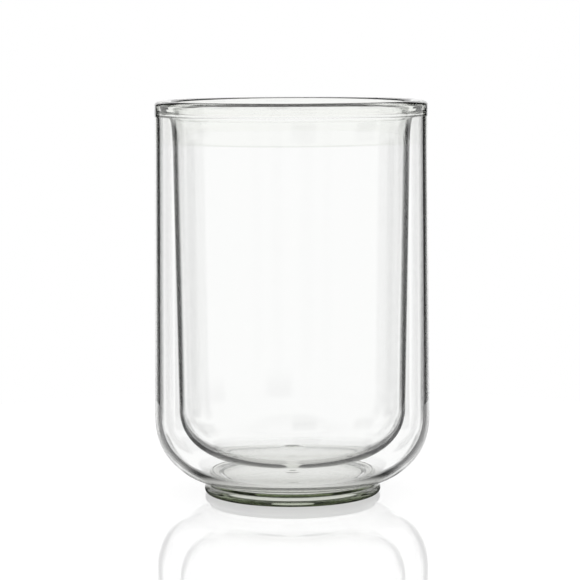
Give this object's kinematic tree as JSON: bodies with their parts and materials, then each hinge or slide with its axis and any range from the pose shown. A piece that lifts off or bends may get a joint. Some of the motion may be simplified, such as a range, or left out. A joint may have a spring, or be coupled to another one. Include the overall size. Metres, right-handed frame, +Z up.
{
  "type": "double walled glass cup",
  "caption": "Straight double walled clear glass cup: an inner glass hung inside an outer glass by a fused rounded rim, with an insulating air space and a low pressed glass foot.",
  "frame": {"origin": "on the table, under the middle of the foot", "axes": "+Z up along the cup's axis, towards the mouth; the cup is round, so +X and +Y are free choices"},
  "size_m": [0.0814, 0.0814, 0.1163],
  "materials": {
    "blown_glass": "clear thin borosilicate, fire polished",
    "fused_glass": "clear thick borosilicate, flame fused and rounded",
    "pressed_glass": "clear thick borosilicate, pressed, with a faint green cast at its edge"
  },
  "bodies": {
    "root": {"outer_glass": "blown_glass", "inner_glass": "blown_glass", "fused_rim": "fused_glass", "foot": "pressed_glass", "vent_seal": "fused_glass"}
  },
  "joints": []
}
